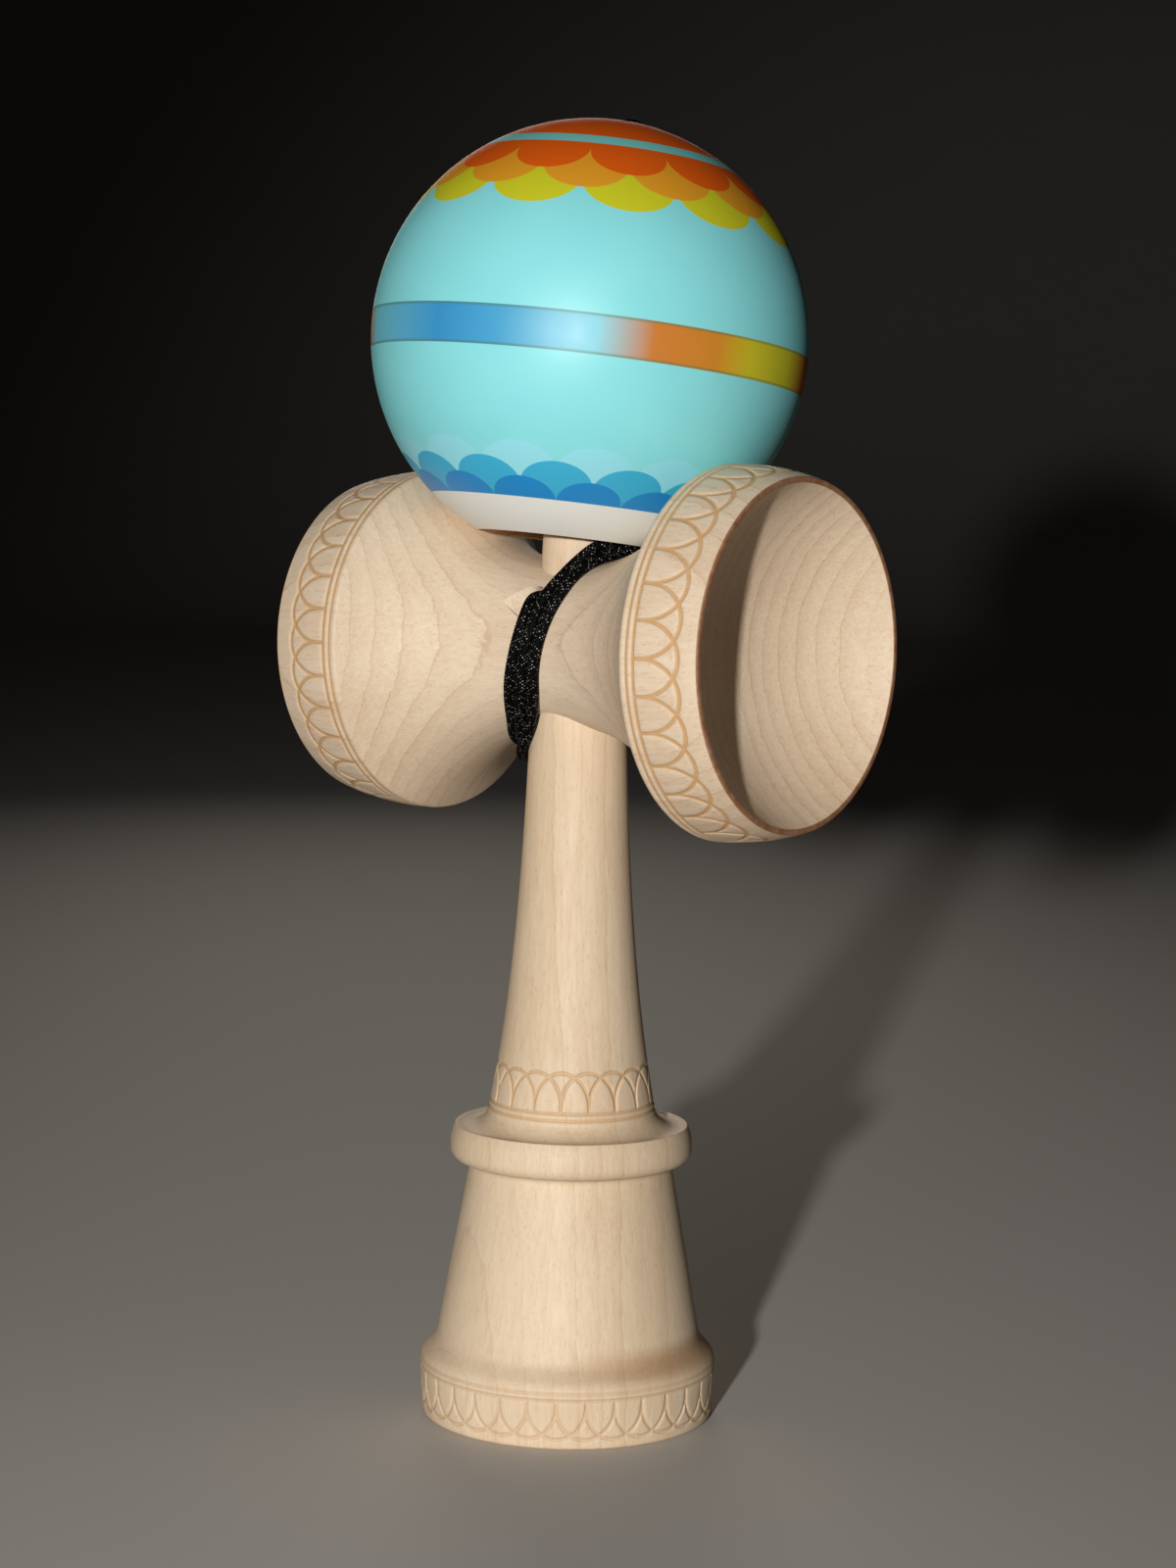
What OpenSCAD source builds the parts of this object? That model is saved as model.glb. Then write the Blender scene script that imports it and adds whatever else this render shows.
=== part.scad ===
// Kendama: a turned handle (ken), a cross piece with two cups (sarado), a ball with a hole (tama)
// and the string that ties them together.
// Frame: Z is the axis of the ken, with Z = 0 on the ring that it stands on. X is the axis of the
// cross piece and points to the big cup. Lengths are in millimetres, angles in degrees.

/* [Base of the ken] */
// Radius of the ring that the ken stands on, at its outer edge
foot_r = 20.3; // [19:0.1:21]
// Radius of the base at its shoulder, where it is widest
base_r = 20.8; // [20:0.1:22]
// Height of the shoulder of the base
base_h = 8.5; // [7.5:0.1:9.8]
// Rounding of the shoulder
base_round = 2.8; // [1:0.1:3.2]
// Radius of the opening of the base cup
base_cup_r = 17.3; // [14:0.1:18]
// Depth of the base cup
base_cup_depth = 8; // [5:0.5:12]

/* [Body and collar] */
// Radius at the lower end of the tapered body
body_foot_r = 18.5; // [17.5:0.1:19]
// Height of the lower end of the body
body_foot_h = 10.8; // [10.2:0.1:13]
// Radius at the upper end of the body, under the collar
body_top_r = 14.1; // [12.5:0.1:15]
// Height of the upper end of the body
body_top_h = 35.5; // [30:0.1:35.8]
// Radius of the collar at its widest
collar_r = 16.9; // [16:0.1:18.5]
// Height of the underside of the collar
collar_low_h = 36.2; // [36:0.1:37]
// Rounding of the lower edge of the collar
collar_round = 1.7; // [0.5:0.1:2]
// Radius of the crisp upper edge of the collar
collar_top_r = 16.3; // [15:0.1:16.6]
// Height of the upper edge of the collar
collar_top_h = 40.9; // [39.5:0.1:41.5]
// Depth of the cove between the collar's edge and the grip
cove_depth = 0.9; // [0.2:0.1:1.5]

/* [Grip and spike] */
// Radius at the foot of the grip
grip_foot_r = 11.8; // [10:0.1:12.5]
// Height of the foot of the grip
grip_foot_h = 42.4; // [42:0.1:44]
// Length over which the grip flares out towards its foot
grip_flare_len = 30; // [20:1:45]
// Radius of the ken where it enters the cross piece
seat_r = 6.7; // [6.3:0.1:7.5]
// Radius of the ken where it leaves the cross piece
spike_r = 5.4; // [4.8:0.1:5.8]
// Length of the spike above the cross piece
spike_len = 35; // [25:0.5:38]
// Radius of the rounded tip of the spike
tip_r = 2.6; // [1.5:0.1:3.5]

/* [Cross piece] */
// Height of the axis of the cross piece
cross_h = 107.6; // [100:0.1:115]
// Radius of the waist at its narrowest
waist_r = 11.2; // [10.5:0.1:12]
// Rounding of the ridges
ridge_round = 0.8; // [0.3:0.1:1.5]
// Width of the edge round a cup
rim_w = 0.7; // [0.4:0.1:1.5]
// Swell of the band between a ridge and its rim
band_swell = 0.4; // [0:0.1:0.8]

/* [Big cup] */
// Radius of the ridge
big_ridge_r = 25.3; // [24:0.1:27]
// Distance of the ridge from the ken's axis
big_ridge_x = 25.9; // [24:0.1:28]
// Radius of the rim
big_rim_r = 23.5; // [22:0.1:24.5]
// Distance of the rim from the ken's axis
big_rim_x = 36.9; // [34:0.1:40]
// Depth of the bowl
big_bowl_depth = 13; // [9:0.5:17]

/* [Small cup] */
// Radius of the ridge
small_ridge_r = 24.1; // [22.5:0.1:26]
// Distance of the ridge from the ken's axis
small_ridge_x = 24.1; // [23:0.1:26]
// Radius of the rim
small_rim_r = 22.6; // [21:0.1:23.5]
// Distance of the rim from the ken's axis
small_rim_x = 36; // [33:0.1:39]
// Depth of the bowl
small_bowl_depth = 12; // [8:0.5:16]

/* [Ball] */
// Radius of the ball
ball_r = 30; // [29:0.1:32]
// Radius of the hole
hole_r = 10.8; // [10:0.1:11.5]
// Radius of the outer edge of the hole's bevel
mouth_r = 12.3; // [11.8:0.1:13.5]
// Depth of the hole from its mouth to its flat end
hole_depth = 45; // [43:0.5:47]
// Radius of the flat end of the hole
hole_end_r = 5.2; // [4.6:0.1:7]
// Radius of the string hole at the top of the ball
top_hole_r = 1.6; // [1.2:0.1:2.5]
// Radius of the countersink of the string hole
top_sink_r = 4.4; // [3:0.1:5]
// Lean of the ball's own axis from upright
ball_tilt = 6.2; // [0:0.1:7]
// Heading of that lean, from the big cup towards the far side
ball_heading = 61; // [0:1:180]
// Roll of the ball round the axis of the cross piece, towards the far side
ball_roll = 0.8; // [0:0.1:1.5]

/* [Bead and knots] */
// Radius of the bead
bead_r = 4; // [3.2:0.1:4.5]
// Radius of a stopper knot
knot_r = 1.9; // [1.5:0.1:2.2]
// Length of a stopper knot
knot_len = 3; // [2.4:0.1:3.2]

/* [String] */
// Diameter of the braided string
cord_d = 1.6; // [1.2:0.1:1.8]
// Step from one wrap to the next, square to the string
wrap_step = 2.06; // [2.02:0.01:2.2]
// Swing of the wraps along the waist, from under the cross piece to over it
wrap_swing = 9.2; // [9:0.1:9.8]
// Shift of the wraps towards the small cup, above and below the waist
wrap_shift = 2.1; // [1.9:0.1:2.3]
// Place of the first wrap along the waist, seen from the front
wrap_x = -1.8; // [-2.1:0.1:-1.7]
// Height of the string hole above the axis of the cross piece
string_hole_rise = 6.9; // [5:0.1:8]
// Turn of the string hole round the ken, from the front towards the small cup
string_hole_turn = 9; // [0:1:20]
// Radius of the string hole
string_hole_r = 1.2; // [1:0.1:1.6]
// Radius of the countersink of the string hole
string_sink_r = 2.8; // [2:0.1:3.2]

/* [Clearances] */
// Clearance between the ken's taper and the cross piece
taper_gap = 0.05; // [0.02:0.01:0.2]
// Clearance between the ball and the ridges that it rests on
seat_gap = 0.3; // [0.1:0.05:0.5]
// Clearance round the bead, the knots and the string in its holes
cord_gap = 0.15; // [0.1:0.05:0.3]
// Clearance between the wraps and the waist
wrap_gap = 0.3; // [0.2:0.05:0.4]

/* [Hidden] */
$fn = 96;

// How far a cut runs past the face that it opens
overrun = 1;
// Facets in the curves of a turned outline
curve_steps = 20;
arc_steps = 6;

// Vectors
function unit(v) = v / norm(v);
function mix(a, b, t) = a + (b - a) * t;
function turn2(v) = [-v[1], v[0]];

// Points of an arc of radius r that rounds the corner b of an outline a, b, c
function rounded(a, b, c, r) =
    let (u = unit(a - b), v = unit(c - b), half = acos(u * v) / 2)
    let (o = b + unit(u + v) * r / sin(half))
    let (p = b + u * r / tan(half) - o, q = b + v * r / tan(half) - o)
    let (sweep = acos(min(1, p * q / (r * r))) * sign(p[0] * q[1] - p[1] * q[0]))
    [for (i = [0 : arc_steps]) let (s = sweep * i / arc_steps)
        o + p * cos(s) + turn2(p) * sin(s)];

// Points of a shallow arch from a to b that stands rise proud of the chord, on its right-hand side
function arched(a, b, rise) =
    [for (i = [0 : arc_steps]) let (t = i / arc_steps)
        mix(a, b, t) - turn2(unit(b - a)) * rise * 4 * t * (1 - t)];

// Ken: heights along its axis
ken_seat_h = cross_h - waist_r;
ken_top_h = cross_h + waist_r;
tip_h = ken_top_h + spike_len;
// Radius of the tapered seat at a height inside the cross piece
function taper_r(h) = mix(seat_r, spike_r, (h - ken_seat_h) / (ken_top_h - ken_seat_h));

// The grip narrows from its foot to the seat, fast at first and ever more slowly
flare_end_share = exp(-(ken_seat_h - grip_foot_h) / grip_flare_len);
function grip_r(h) =
    let (flare_share = exp(-(h - grip_foot_h) / grip_flare_len))
    mix(seat_r, grip_foot_r, (flare_share - flare_end_share) / (1 - flare_end_share));

// The spike narrows slowly above the cross piece and faster towards its round tip
spike_power = 1.4;
spike_round_h = tip_h - tip_r;
function spike_curve_r(h) =
    mix(spike_r, tip_r, pow((h - ken_top_h) / (spike_round_h - ken_top_h), spike_power));

// Half outline of the ken as radius and height, from the bottom up
foot_round = 0.6;
body_round = 3;
// Rounding of the hollow corner between the body and the collar
neck_round = 0.9;
// Share of the collar's height up to which its side is upright
collar_side_share = 0.6;
collar_side_h = mix(collar_low_h, collar_top_h, collar_side_share);
collar_side_round = 6;
foot_corner = [foot_r, 0];
shoulder = [base_r, base_h];
body_foot = [body_foot_r, body_foot_h];
body_top = [body_top_r, body_top_h];
collar_low = [collar_r, collar_low_h];
collar_side = [collar_r, collar_side_h];
collar_edge = [collar_top_r, collar_top_h];
grip_foot = [grip_foot_r, grip_foot_h];
ken_outline = concat(
    [[0, 0]],
    rounded([0, 0], foot_corner, shoulder, foot_round),
    rounded(foot_corner, shoulder, body_foot, base_round),
    rounded(shoulder, body_foot, body_top, body_round),
    rounded(body_foot, body_top, collar_low, neck_round),
    rounded(body_top, collar_low, collar_side, collar_round),
    rounded(collar_low, collar_side, collar_edge, collar_side_round),
    arched(collar_edge, grip_foot, -cove_depth),
    [for (i = [1 : curve_steps]) let (h = mix(grip_foot_h, ken_seat_h, i / curve_steps))
        [grip_r(h), h]],
    [for (i = [0 : curve_steps - 1]) let (h = mix(ken_top_h, spike_round_h, i / curve_steps))
        [spike_curve_r(h), h]],
    [for (i = [0 : arc_steps]) let (a = 90 * i / arc_steps)
        [tip_r * cos(a), spike_round_h + tip_r * sin(a)]]
);

// Cross piece: half outline as place along its axis and radius, from the small rim to the big rim
small_rim = [-small_rim_x, small_rim_r];
small_ridge = [-small_ridge_x, small_ridge_r];
big_ridge = [big_ridge_x, big_ridge_r];
big_rim = [big_rim_x, big_rim_r];
// The back of each cup is one arc from the waist, where it is level, out to the ridge
function back_arc_r(ridge) =
    let (rise = ridge[1] - waist_r)
    (ridge[0] * ridge[0] + rise * rise) / (2 * rise);
function back_r(x, ridge) = waist_r + back_arc_r(ridge) - sqrt(pow(back_arc_r(ridge), 2) - x * x);
function back_point(ridge, t) = let (x = ridge[0] * t) [x, back_r(x, ridge)];
// Share of the way to the ridge at which its rounding takes over
back_share = 1 - 1 / curve_steps;
small_ridge_arc = rounded(small_rim, small_ridge, back_point(small_ridge, back_share), ridge_round);
big_ridge_arc = rounded(back_point(big_ridge, back_share), big_ridge, big_rim, ridge_round);
cross_outline = concat(
    [[-small_rim_x, 0]],
    arched(small_rim, small_ridge_arc[0], -band_swell),
    small_ridge_arc,
    [for (i = [1 - curve_steps : 0]) back_point(small_ridge, -i / curve_steps)],
    [for (i = [1 : curve_steps - 1]) back_point(big_ridge, i / curve_steps)],
    big_ridge_arc,
    arched(big_ridge_arc[arc_steps], big_rim, -band_swell),
    [[big_rim_x, 0]]
);

// Radius of the sphere that cuts a bowl of a given opening and depth
function bowl_r(opening, depth) = (opening * opening + depth * depth) / (2 * depth);
base_bowl_r = bowl_r(base_cup_r, base_cup_depth);
big_bowl_r = bowl_r(big_rim_r - rim_w, big_bowl_depth);
small_bowl_r = bowl_r(small_rim_r - rim_w, small_bowl_depth);

// Ball: it rests on both ridges, or with its mouth on the backs of the cups if it is too small for that
reach = ball_r + seat_gap;
ridge_mid = (small_ridge + big_ridge) / 2;
ridge_half = (big_ridge - small_ridge) / 2;
ridge_seat = ridge_mid + turn2(unit(ridge_half)) * sqrt(max(0, reach * reach - ridge_half * ridge_half));
function mouth_seat(ridge) = back_r(mouth_r, ridge) + sqrt(reach * reach - mouth_r * mouth_r);
ball_rise = max(ridge_seat[1], mouth_seat(small_ridge), mouth_seat(big_ridge));
ball_c = [ridge_seat[0], ball_rise * sin(ball_roll), cross_h + ball_rise * cos(ball_roll)];
ball_axis = [sin(ball_tilt) * cos(ball_heading), sin(ball_tilt) * sin(ball_heading), cos(ball_tilt)];
mouth_low = sqrt(ball_r * ball_r - mouth_r * mouth_r);
bevel_h = mouth_r - hole_r;
hole_top = hole_depth - mouth_low;
hole_cone_h = hole_r - hole_end_r;
sink_h = top_sink_r - top_hole_r;
function on_ball_axis(h) = ball_c + ball_axis * h;
// Half outline of all that is bored out of the ball, as radius and height from its centre
bore_outline = [
    [0, -ball_r - overrun],
    [mouth_r + overrun, -ball_r - overrun],
    [mouth_r + overrun, -mouth_low - overrun],
    [hole_r, bevel_h - mouth_low],
    [hole_r, hole_top - hole_cone_h],
    [hole_end_r, hole_top],
    [top_hole_r, hole_top],
    [top_hole_r, ball_r - sink_h],
    [top_sink_r + overrun, ball_r + overrun],
    [0, ball_r + overrun]
];

// String: sizes that follow its diameter, and the sides of its faceted stretches
cord_r = cord_d / 2;
bend_r = 2 * cord_d;
wraps_sides = 6;
run_sides = 8;

// String hole, square to the ken's axis and through it
string_hole_h = cross_h + string_hole_rise;
string_out = [-sin(string_hole_turn), -cos(string_hole_turn), 0];
string_hole_mouth = sqrt(waist_r * waist_r - string_hole_rise * string_hole_rise);
function in_string_hole(d) = [0, 0, string_hole_h] + string_out * d;
// The anchor knot's outer face lies just inside the round side of the ken
knot_face = sqrt(pow(taper_r(string_hole_h), 2) - knot_r * knot_r) - cord_gap;
knot_floor = knot_face - knot_len - cord_gap;

// Radius at which the string's middle lies over the waist and the backs of the cups
lie = cord_r + wrap_gap;
function lie_on(x, ridge) = waist_r + back_arc_r(ridge) - sqrt(pow(back_arc_r(ridge) - lie, 2) - x * x);
function lie_r(x) = lie_on(x, x < 0 ? small_ridge : big_ridge);

// Wraps: the angle starts at the front of the waist and goes down, behind and over it
loop_rings = 24;
wrap_start = -6;
whole_wraps = 2;
last_wrap = 152;
wrap_end = whole_wraps * 360 + last_wrap;
// Share of the swing that the front and back stretches hold back, so that they run steeper there
steep_share = 0.45;
// Place along the waist of the line that all wraps run beside, and its slant there
function wrap_mid(a) =
    -wrap_swing * sin(a) * (1 - steep_share * pow(cos(a), 2)) - wrap_shift * pow(sin(a), 2);
wrap_arc = (waist_r + lie) * PI / 180;
function wrap_slant(a) = atan((wrap_mid(a + 1) - wrap_mid(a - 1)) / (2 * wrap_arc));
// Each wrap keeps its distance from the next, measured square to the string
function wrap_point(a) =
    let (side = wrap_x + wrap_step * a / 360, slant = wrap_slant(a))
    let (x = wrap_mid(a) + side * cos(slant), b = a - side * sin(slant) / wrap_arc, r = lie_r(x))
    [x, -r * cos(b), cross_h - r * sin(b)];
wrap_turn = 360 / loop_rings;
wrap_rings = ceil((wrap_end - wrap_start) / wrap_turn);
wrap_angles = [for (i = [0 : wrap_rings]) min(wrap_end, wrap_start + i * wrap_turn)];
function wrap_dir(a) = unit(wrap_point(a + 1) - wrap_point(a - 1));

// The string leaves its hole straight and bends over the edge onto the waist
tail_out = taper_r(string_hole_h) + taper_gap;
bend_in = string_hole_mouth - cord_r;
lead_share = 1.5;
lead = bend_r * lead_share;
bend_from = in_string_hole(bend_in);
bend_to = wrap_point(wrap_start);
bend_to_dir = wrap_dir(wrap_start);
function bend_point(t) =
    bend_from * pow(1 - t, 3) + (bend_from + string_out * lead) * 3 * t * pow(1 - t, 2)
    + (bend_to - bend_to_dir * lead) * 3 * t * t * (1 - t) + bend_to * pow(t, 3);
bend_rings = 8;
wraps_off = wrap_point(wrap_end) + wrap_dir(wrap_end) * cord_d;
wraps_path = concat(
    [in_string_hole(tail_out), bend_from],
    [for (i = [1 : bend_rings - 1]) bend_point(i / bend_rings)],
    [for (a = wrap_angles) wrap_point(a)],
    [wraps_off]
);

// Least gap of the wraps to themselves, between rings that are at least half a loop apart
function to_piece(p, a, b) =
    let (t = max(0, min(1, (p - a) * (b - a) / ((b - a) * (b - a)))))
    norm(p - mix(a, b, t));
wraps_gap = min([for (i = [0 : len(wraps_path) - 2], j = [i + loop_rings / 2 : 1 : len(wraps_path) - 2])
    to_piece(wraps_path[i], wraps_path[j], wraps_path[j + 1])]) - cord_d;
echo("least gap of the wraps to themselves, mm:", wraps_gap);

// Free run: from the last wrap up the far side of the ball, over its top and into the string hole
run_points = [
    [2.4, 12.6, 104.1], [2.7, 14.0, 106.3], [2.8, 15.9, 110], [2.8, 17.9, 114], [2.8, 19.8, 118],
    [2.8, 21.8, 122], [2.8, 23.8, 126], [2.8, 25.7, 130], [2.7, 27.6, 133.8], [2.7, 29.2, 137.2],
    [2.6, 30.5, 140.8], [2.6, 31.3, 144.6], [2.5, 31.7, 148.4], [2.5, 31.6, 152.4], [2.4, 30.9, 156.4],
    [2.4, 29.7, 160.3], [2.3, 28.1, 164], [2.3, 25.9, 167.5], [2.2, 23.3, 170.7], [2.2, 20.3, 173.5],
    [2.1, 17, 175.9], [2.1, 13.4, 177.8], [2.1, 9.7, 179.3], [2.1, 7.2, 179.9], [2, 5.2, 179.4],
    [2, 3.8, 177.9], [1.9, 3.2, 176.3]
];
run_in = ball_r - sink_h - bend_r;
run_path = concat(
    [wraps_off + wrap_dir(wrap_end) * taper_gap, wraps_off + wrap_dir(wrap_end) * cord_d],
    run_points,
    [on_ball_axis(run_in + cord_d), on_ball_axis(run_in)]
);

// Bead and end knot under the end of the hole
bead_h = hole_top - cord_gap - bead_r;
bead_bore_r = cord_r + cord_gap;
bead_flat = sqrt(bead_r * bead_r - bead_bore_r * bead_bore_r);
knot_top = bead_h - bead_flat;

// Tube along a path: one ring of sides points at each place, square to the way that the path goes there
function path_dir(path, i) = unit(path[min(i + 1, len(path) - 1)] - path[max(i - 1, 0)]);
function ring(p, dir, r, sides) =
    let (u = unit([1, 0, 0] - dir * dir[0]), v = cross(dir, u))
    [for (k = [0 : sides - 1]) p + r * (u * cos(360 * k / sides) + v * sin(360 * k / sides))];

module tube(path, r, sides) {
    n = len(path);
    points = [for (i = [0 : n - 1]) each ring(path[i], path_dir(path, i), r, sides)];
    walls = [for (i = [0 : n - 2], k = [0 : sides - 1])
        let (a = i * sides + k, b = i * sides + (k + 1) % sides)
        each [[a, a + sides, b], [b, a + sides, b + sides]]];
    low_cap = [for (k = [1 : sides - 2]) [0, k, k + 1]];
    top = (n - 1) * sides;
    high_cap = [for (k = [1 : sides - 2]) [top, top + k + 1, top + k]];
    polyhedron(points, concat(walls, low_cap, high_cap));
}

// Places things along the ball's axis, with its centre at zero
module on_ball() {
    translate(ball_c)
        rotate([0, 0, ball_heading]) rotate([0, ball_tilt, 0]) rotate([0, 0, -ball_heading]) children();
}

// Points a shape that stands on Z out along the string hole, starting at the ken's axis
module along_string_hole() {
    translate([0, 0, string_hole_h]) rotate([0, 0, -string_hole_turn]) rotate([90, 0, 0]) children();
}

// Stopper knot: three turns of the string side by side round its core, standing on Z
knot_turns = 3;
module knot() {
    turn_r = knot_len / knot_turns / 2;
    rotate_extrude()
        polygon(concat(
            [[0, 0]],
            [for (j = [0 : knot_turns - 1], i = [0 : arc_steps]) let (a = -90 + 180 * i / arc_steps)
                [knot_r - turn_r + turn_r * cos(a), turn_r * (2 * j + 1 + sin(a))]],
            [[0, knot_len]]
        ));
}

// Handle with the base cup below, the grip and the spike above, and the cross hole for the string
module ken() {
    color("burlywood")
    difference() {
        rotate_extrude() polygon(ken_outline);
        translate([0, 0, base_cup_depth - base_bowl_r]) sphere(base_bowl_r);
        along_string_hole() {
            translate([0, 0, -seat_r]) cylinder(r = string_hole_r, h = 2 * seat_r);
            translate([0, 0, -seat_r]) cylinder(r = knot_r + cord_gap, h = seat_r - knot_floor);
        }
    }
}

// Cross piece with its two bowls, the tapered bore and the string hole
module sarado() {
    color("tan")
    difference() {
        translate([0, 0, cross_h]) rotate([0, 90, 0])
            rotate_extrude() polygon([for (p = cross_outline) [p[1], p[0]]]);
        translate([big_rim_x - big_bowl_depth + big_bowl_r, 0, cross_h]) sphere(big_bowl_r);
        translate([small_bowl_depth - small_rim_x - small_bowl_r, 0, cross_h]) sphere(small_bowl_r);
        translate([0, 0, ken_seat_h - overrun])
            cylinder(r1 = taper_r(ken_seat_h - overrun) + taper_gap,
                     r2 = taper_r(ken_top_h + overrun) + taper_gap,
                     h = 2 * (waist_r + overrun));
        along_string_hole() {
            cylinder(r = string_hole_r, h = waist_r + overrun);
            translate([0, 0, string_hole_mouth - string_sink_r + string_hole_r])
                cylinder(r1 = string_hole_r, r2 = string_sink_r + overrun,
                         h = string_sink_r - string_hole_r + overrun);
        }
    }
}

// Ball with its bevelled hole and the string hole at its top
module tama() {
    color("paleturquoise")
    on_ball()
    difference() {
        sphere(ball_r);
        rotate_extrude() polygon(bore_outline);
    }
}

// Bead on the string, under the end of the hole
module bead() {
    color("goldenrod")
    on_ball()
    translate([0, 0, bead_h])
    difference() {
        sphere(bead_r);
        translate([0, 0, -bead_r]) cylinder(r = bead_bore_r, h = 2 * bead_r);
    }
}

// Knot in the pocket at the far end of the ken's cross hole
module anchor_knot() {
    color("dimgray")
    along_string_hole() translate([0, 0, -knot_face]) knot();
}

// String from the anchor knot to the side of the ken
module string_tail() {
    color("black")
    along_string_hole() translate([0, 0, knot_len - knot_face])
        cylinder(r = cord_r, h = taper_r(string_hole_h) + knot_face - knot_len);
}

// String from its hole and round the waist
module string_wraps() {
    color("black") tube(wraps_path, cord_r, wraps_sides);
}

// String from the wraps to the top of the ball
module string_run() {
    color("black") tube(run_path, cord_r, run_sides);
}

// String through the top of the ball and the bead
module string_end() {
    color("black")
    on_ball() translate([0, 0, knot_top]) cylinder(r = cord_r, h = run_in - knot_top);
}

// Knot under the bead
module end_knot() {
    color("dimgray")
    on_ball() translate([0, 0, knot_top - knot_len]) knot();
}

ken();
sarado();
tama();
bead();
anchor_knot();
string_tail();
string_wraps();
string_run();
string_end();
end_knot();
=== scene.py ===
"""Looks of a kendama: turned maple with engraved bands, a painted ball and a braided string.

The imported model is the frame: Z is the axis of the handle, X the axis of the cross piece. Shapes are
worked out in millimetres and put into the meshes in metres.
"""

import bpy
import numpy as np
from mathutils import Matrix


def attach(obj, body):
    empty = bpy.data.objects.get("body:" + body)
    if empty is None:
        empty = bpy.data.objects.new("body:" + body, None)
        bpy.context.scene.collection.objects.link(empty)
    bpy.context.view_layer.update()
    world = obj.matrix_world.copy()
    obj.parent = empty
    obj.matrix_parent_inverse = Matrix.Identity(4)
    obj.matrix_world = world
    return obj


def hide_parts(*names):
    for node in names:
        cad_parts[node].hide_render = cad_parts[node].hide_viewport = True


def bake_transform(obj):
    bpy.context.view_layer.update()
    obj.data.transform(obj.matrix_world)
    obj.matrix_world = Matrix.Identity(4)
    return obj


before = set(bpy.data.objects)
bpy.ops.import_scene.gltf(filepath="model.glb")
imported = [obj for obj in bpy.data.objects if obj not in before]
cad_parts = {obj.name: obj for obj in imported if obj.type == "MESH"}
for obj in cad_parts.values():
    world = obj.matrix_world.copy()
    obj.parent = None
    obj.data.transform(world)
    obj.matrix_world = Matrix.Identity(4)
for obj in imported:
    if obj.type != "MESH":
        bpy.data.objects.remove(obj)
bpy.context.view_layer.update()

MM = 0.001
X_WAY = np.array([1.0, 0, 0])
Y_WAY = np.array([0, 1.0, 0])
UP = np.array([0, 0, 1.0])

# Sizes of the handle in millimetres, with points as radius and height
FOOT = [20.3, 0]
SHOULDER = [20.8, 8.5]
BODY_FOOT = [18.5, 10.8]
BODY_TOP = [14.1, 35.5]
COLLAR_LOW = [16.9, 36.2]
COLLAR_SIDE = [16.9, 39.02]
COLLAR_EDGE = [16.3, 40.9]
COLLAR_TOP = [14.4, 41.0]
LIP_ROUND = 0.35
FOOT_ROUND = 0.6
SHOULDER_ROUND = 2.8
BODY_ROUND = 3
NECK_ROUND = 0.9
COLLAR_ROUND = 1.7
SIDE_ROUND = 6
EDGE_ROUND = 0.25
COVE_DEPTH = 0.9
GRIP_FOOT_R = 11.8
GRIP_FOOT_H = 42.4
GRIP_FLARE = 30
SEAT_R = 6.7
SPIKE_R = 5.4
SPIKE_LENGTH = 35
SPIKE_POWER = 1.4
TIP_R = 2.6
BASE_CUP_R = 17.3
BASE_CUP_DEPTH = 8

# Sizes of the cross piece, with points as place along its axis and radius
CROSS_H = 107.6
WAIST_R = 11.2
SMALL_RIM = np.array([-36.0, 22.6])
SMALL_RIDGE = np.array([-24.1, 24.1])
SMALL_BOWL_DEPTH = 12
BIG_RIDGE = np.array([25.9, 25.3])
BIG_RIM = np.array([36.9, 23.5])
BIG_BOWL_DEPTH = 13
RIM_WIDTH = 0.7
BAND_SWELL = 0.4
RIDGE_ROUND = 0.8
SEAT_H = CROSS_H - WAIST_R
TOP_H = CROSS_H + WAIST_R
TAPER_GAP = 0.05

# Sizes of the ball, which leans on the cross piece
BALL_R = 30.0
BALL_C = np.array([0.489494, 0.583681, 149.400])
BALL_AXIS = np.array([0.0523591, 0.0944584, 0.994151])
MOUTH_R = 12.3
BALL_HOLE_R = 10.8
BALL_HOLE_DEPTH = 45
BALL_HOLE_END_R = 5.2
TOP_SINK_R = 4.4
TOP_SINK_H = 27.2
TOP_SINK_ROUND = 0.9
TOP_HOLE_R = 1.6

# Sizes of the string, its knots and the hole that it comes out of
CORD_R = 0.83
CORD_SIDES = 16
CORD_STEP = 0.12
BRAID_BUMPS = 8
BRAID_PITCH = 0.5
BRAID_DEPTH = 0.06
KNOT_TURNS = 3
KNOT_LENGTH = 3.0
KNOT_R = 1.38
KNOT_CORD_R = 0.5
KNOT_SIDES = 14
HOLE_H = 114.5
HOLE_R = 1.2
HOLE_OUT = np.array([-np.sin(np.radians(9)), -np.cos(np.radians(9)), 0.0])
HOLE_MIDDLE = np.array([0, 0, HOLE_H])
HOLE_MOUTH = np.sqrt(WAIST_R ** 2 - (HOLE_H - CROSS_H) ** 2)
POCKET_R = 2.05
POCKET_END = -2.2
SINK_DEPTH = 1.2
SINK_FOOT_R = 1.36
SINK_TOP = 2
SINK_TOP_R = 3.9

# How far the hidden stretches of the string reach from the middle of its hole and of the ball
TAIL_REACH = 2.33
BRIDGE_OUT = 6.2
BRIDGE_HALF = 0.78
END_TOP = 23.95
END_LOW = 9.6

# Engraved bands: depth in millimetres, then shares of a repeat or of the width of a band
GROOVE_DEPTH = 0.15
LINE_HALF = 0.027
RAILS = (0.067, 0.19)
ARCH_FOOT = 0.32
ARCH_SQUASH = 0.85
BASE_REPEATS = 16
GRIP_REPEATS = 9
CUP_REPEATS = 16

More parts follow.
